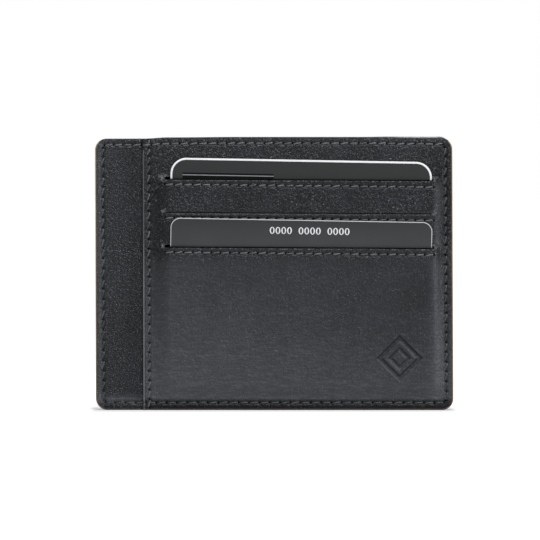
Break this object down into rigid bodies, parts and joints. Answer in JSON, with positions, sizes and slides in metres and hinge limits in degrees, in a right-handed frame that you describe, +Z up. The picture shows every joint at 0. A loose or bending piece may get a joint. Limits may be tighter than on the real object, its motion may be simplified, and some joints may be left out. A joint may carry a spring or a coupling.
{
  "type": "card holder",
  "caption": "Flat leather card holder with stacked card slots across its front, a note pocket open along the top edge behind them, and display cards that slide out.",
  "frame": {"origin": "middle of the bottom edge, halfway through the thickness", "axes": "+X along the width to the right as seen from the front, -Y is the front with the card slots, +Z up towards the note pocket's mouth"},
  "size_m": [0.117, 0.0068, 0.0895],
  "materials": {
    "panel_leather": "fine-grained black calf leather with a soft sheen and painted black edges",
    "lining_fabric": "black woven lining",
    "pocket_fabric": "thin black woven pocketing",
    "black_thread": "waxed black polyester thread",
    "upper_card_board": "dark grey printed card with a white rim",
    "lower_card_board": "dark grey printed card with a pale rim"
  },
  "bodies": {
    "holder": {"front_panel": "panel_leather", "inner_panel": "panel_leather", "back_panel": "panel_leather", "inner_lining": "lining_fabric", "back_lining": "lining_fabric", "upper_pocket": "pocket_fabric", "middle_pocket": "pocket_fabric", "lower_pocket": "pocket_fabric", "front_perimeter_thread": "black_thread", "side_seam_thread": "black_thread", "back_perimeter_thread": "black_thread", "upper_slot_thread": "black_thread", "middle_slot_thread": "black_thread", "lower_slot_thread": "black_thread"},
    "upper_card": {"upper_card": "upper_card_board"},
    "lower_card": {"lower_card": "lower_card_board"}
  },
  "joints": [
    {"name": "upper_card_slide", "type": "slide", "parent": "holder", "child": "upper_card", "axis": [0.0175, -0.0175, 0.9997], "range_m": [0, 0.043]},
    {"name": "lower_card_slide", "type": "slide", "parent": "holder", "child": "lower_card", "axis": [0.0175, -0.0523, 0.9985], "range_m": [0, 0.041]}
  ]
}
